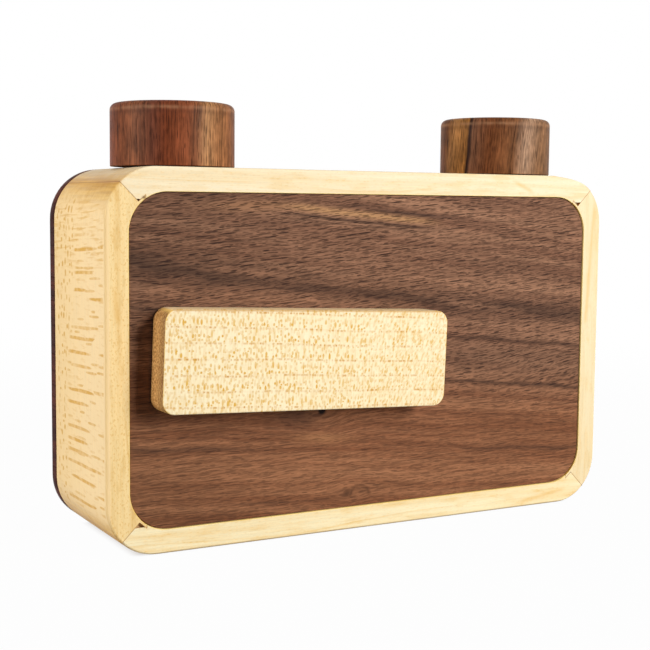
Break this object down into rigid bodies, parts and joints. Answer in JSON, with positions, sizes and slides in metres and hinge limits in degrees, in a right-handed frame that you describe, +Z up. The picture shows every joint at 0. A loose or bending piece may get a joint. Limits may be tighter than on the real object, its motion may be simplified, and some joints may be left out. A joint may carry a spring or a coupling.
{
  "type": "pinhole camera",
  "caption": "Wooden roll-film pinhole camera: a maple frame with a walnut front panel and rear cover, winding knobs on the top and a sliding shutter bar over the pinhole.",
  "frame": {"origin": "centre of the tripod socket's mouth, on the base plane and midway through the case's depth", "axes": "+Z up, +X to the right of someone facing the front, +Y from the front to the back"},
  "size_m": [0.137, 0.0493, 0.1007],
  "materials": {
    "maple": "oiled maple, satin, with fine grain and ray flecks",
    "walnut": "oiled walnut, satin, with dark pores along the grain",
    "black_wood": "wood stained matte black",
    "brass": "turned brass",
    "steel": "turned stainless steel",
    "nickel": "nickel plated magnet",
    "felt": "black felt",
    "black_plastic": "moulded black plastic",
    "red_plastic": "clear red plastic"
  },
  "bodies": {
    "camera_body": {"top_rail": "maple", "bottom_rail": "maple", "left_rail": "maple", "right_rail": "maple", "front_panel": "walnut", "pinhole_plate": "steel", "pinhole_retainer": "black_plastic", "left_chamber_wall": "black_wood", "right_chamber_wall": "black_wood", "upper_gate_rail": "black_wood", "lower_gate_rail": "black_wood", "takeup_bush": "brass", "supply_bush": "brass", "takeup_pivot": "steel", "supply_pivot": "steel", "tripod_bush": "brass", "frame_magnets": "nickel", "panel_magnets": "nickel"},
    "shutter": {"shutter_bar": "maple", "shutter_guide_pins": "steel", "shutter_magnets": "nickel", "shutter_pad": "felt"},
    "takeup_carrier": {"takeup_washer": "felt"},
    "takeup_winder": {"takeup_knob": "walnut", "takeup_shaft": "steel"},
    "takeup_reel": {"takeup_spool": "black_plastic"},
    "supply_carrier": {"supply_washer": "felt"},
    "supply_winder": {"supply_knob": "walnut", "supply_shaft": "steel"},
    "back": {"rear_cover": "walnut", "rear_light_trap": "black_wood", "cover_magnets": "nickel", "counter_window": "red_plastic", "window_screw": "brass"},
    "flap": {"window_flap": "maple"}
  },
  "joints": [
    {"name": "shutter_slide", "type": "slide", "parent": "camera_body", "child": "shutter", "axis": [-1, 0, 0], "range_m": [0, 0.027]},
    {"name": "takeup_lift", "type": "slide", "parent": "camera_body", "child": "takeup_carrier", "axis": [0, 0, 1], "range_m": [0, 0.0042]},
    {"name": "takeup_turn", "type": "hinge", "parent": "takeup_carrier", "child": "takeup_winder", "pos_m": [-0.046, -0.00265, 0.0863], "axis": [0, 0, 1], "continuous": true},
    {"name": "takeup_reel_turn", "type": "hinge", "parent": "camera_body", "child": "takeup_reel", "pos_m": [-0.046, -0.00265, 0.0101], "axis": [0, 0, 1], "continuous": true},
    {"name": "supply_lift", "type": "slide", "parent": "camera_body", "child": "supply_carrier", "axis": [0, 0, 1], "range_m": [0, 0.0042]},
    {"name": "supply_turn", "type": "hinge", "parent": "supply_carrier", "child": "supply_winder", "pos_m": [0.046, -0.00265, 0.0863], "axis": [0, 0, 1], "continuous": true},
    {"name": "cover_pull", "type": "slide", "parent": "camera_body", "child": "back", "axis": [0, 1, 0], "range_m": [0, 0.06]},
    {"name": "flap_swing", "type": "hinge", "parent": "back", "child": "flap", "pos_m": [0, 0.0205, 0.058], "axis": [0, 1, 0], "range_deg": [-100, 100]}
  ],
  "couplings": [
    {"joint": "takeup_reel_turn", "follows": "takeup_turn", "ratio": 1}
  ]
}
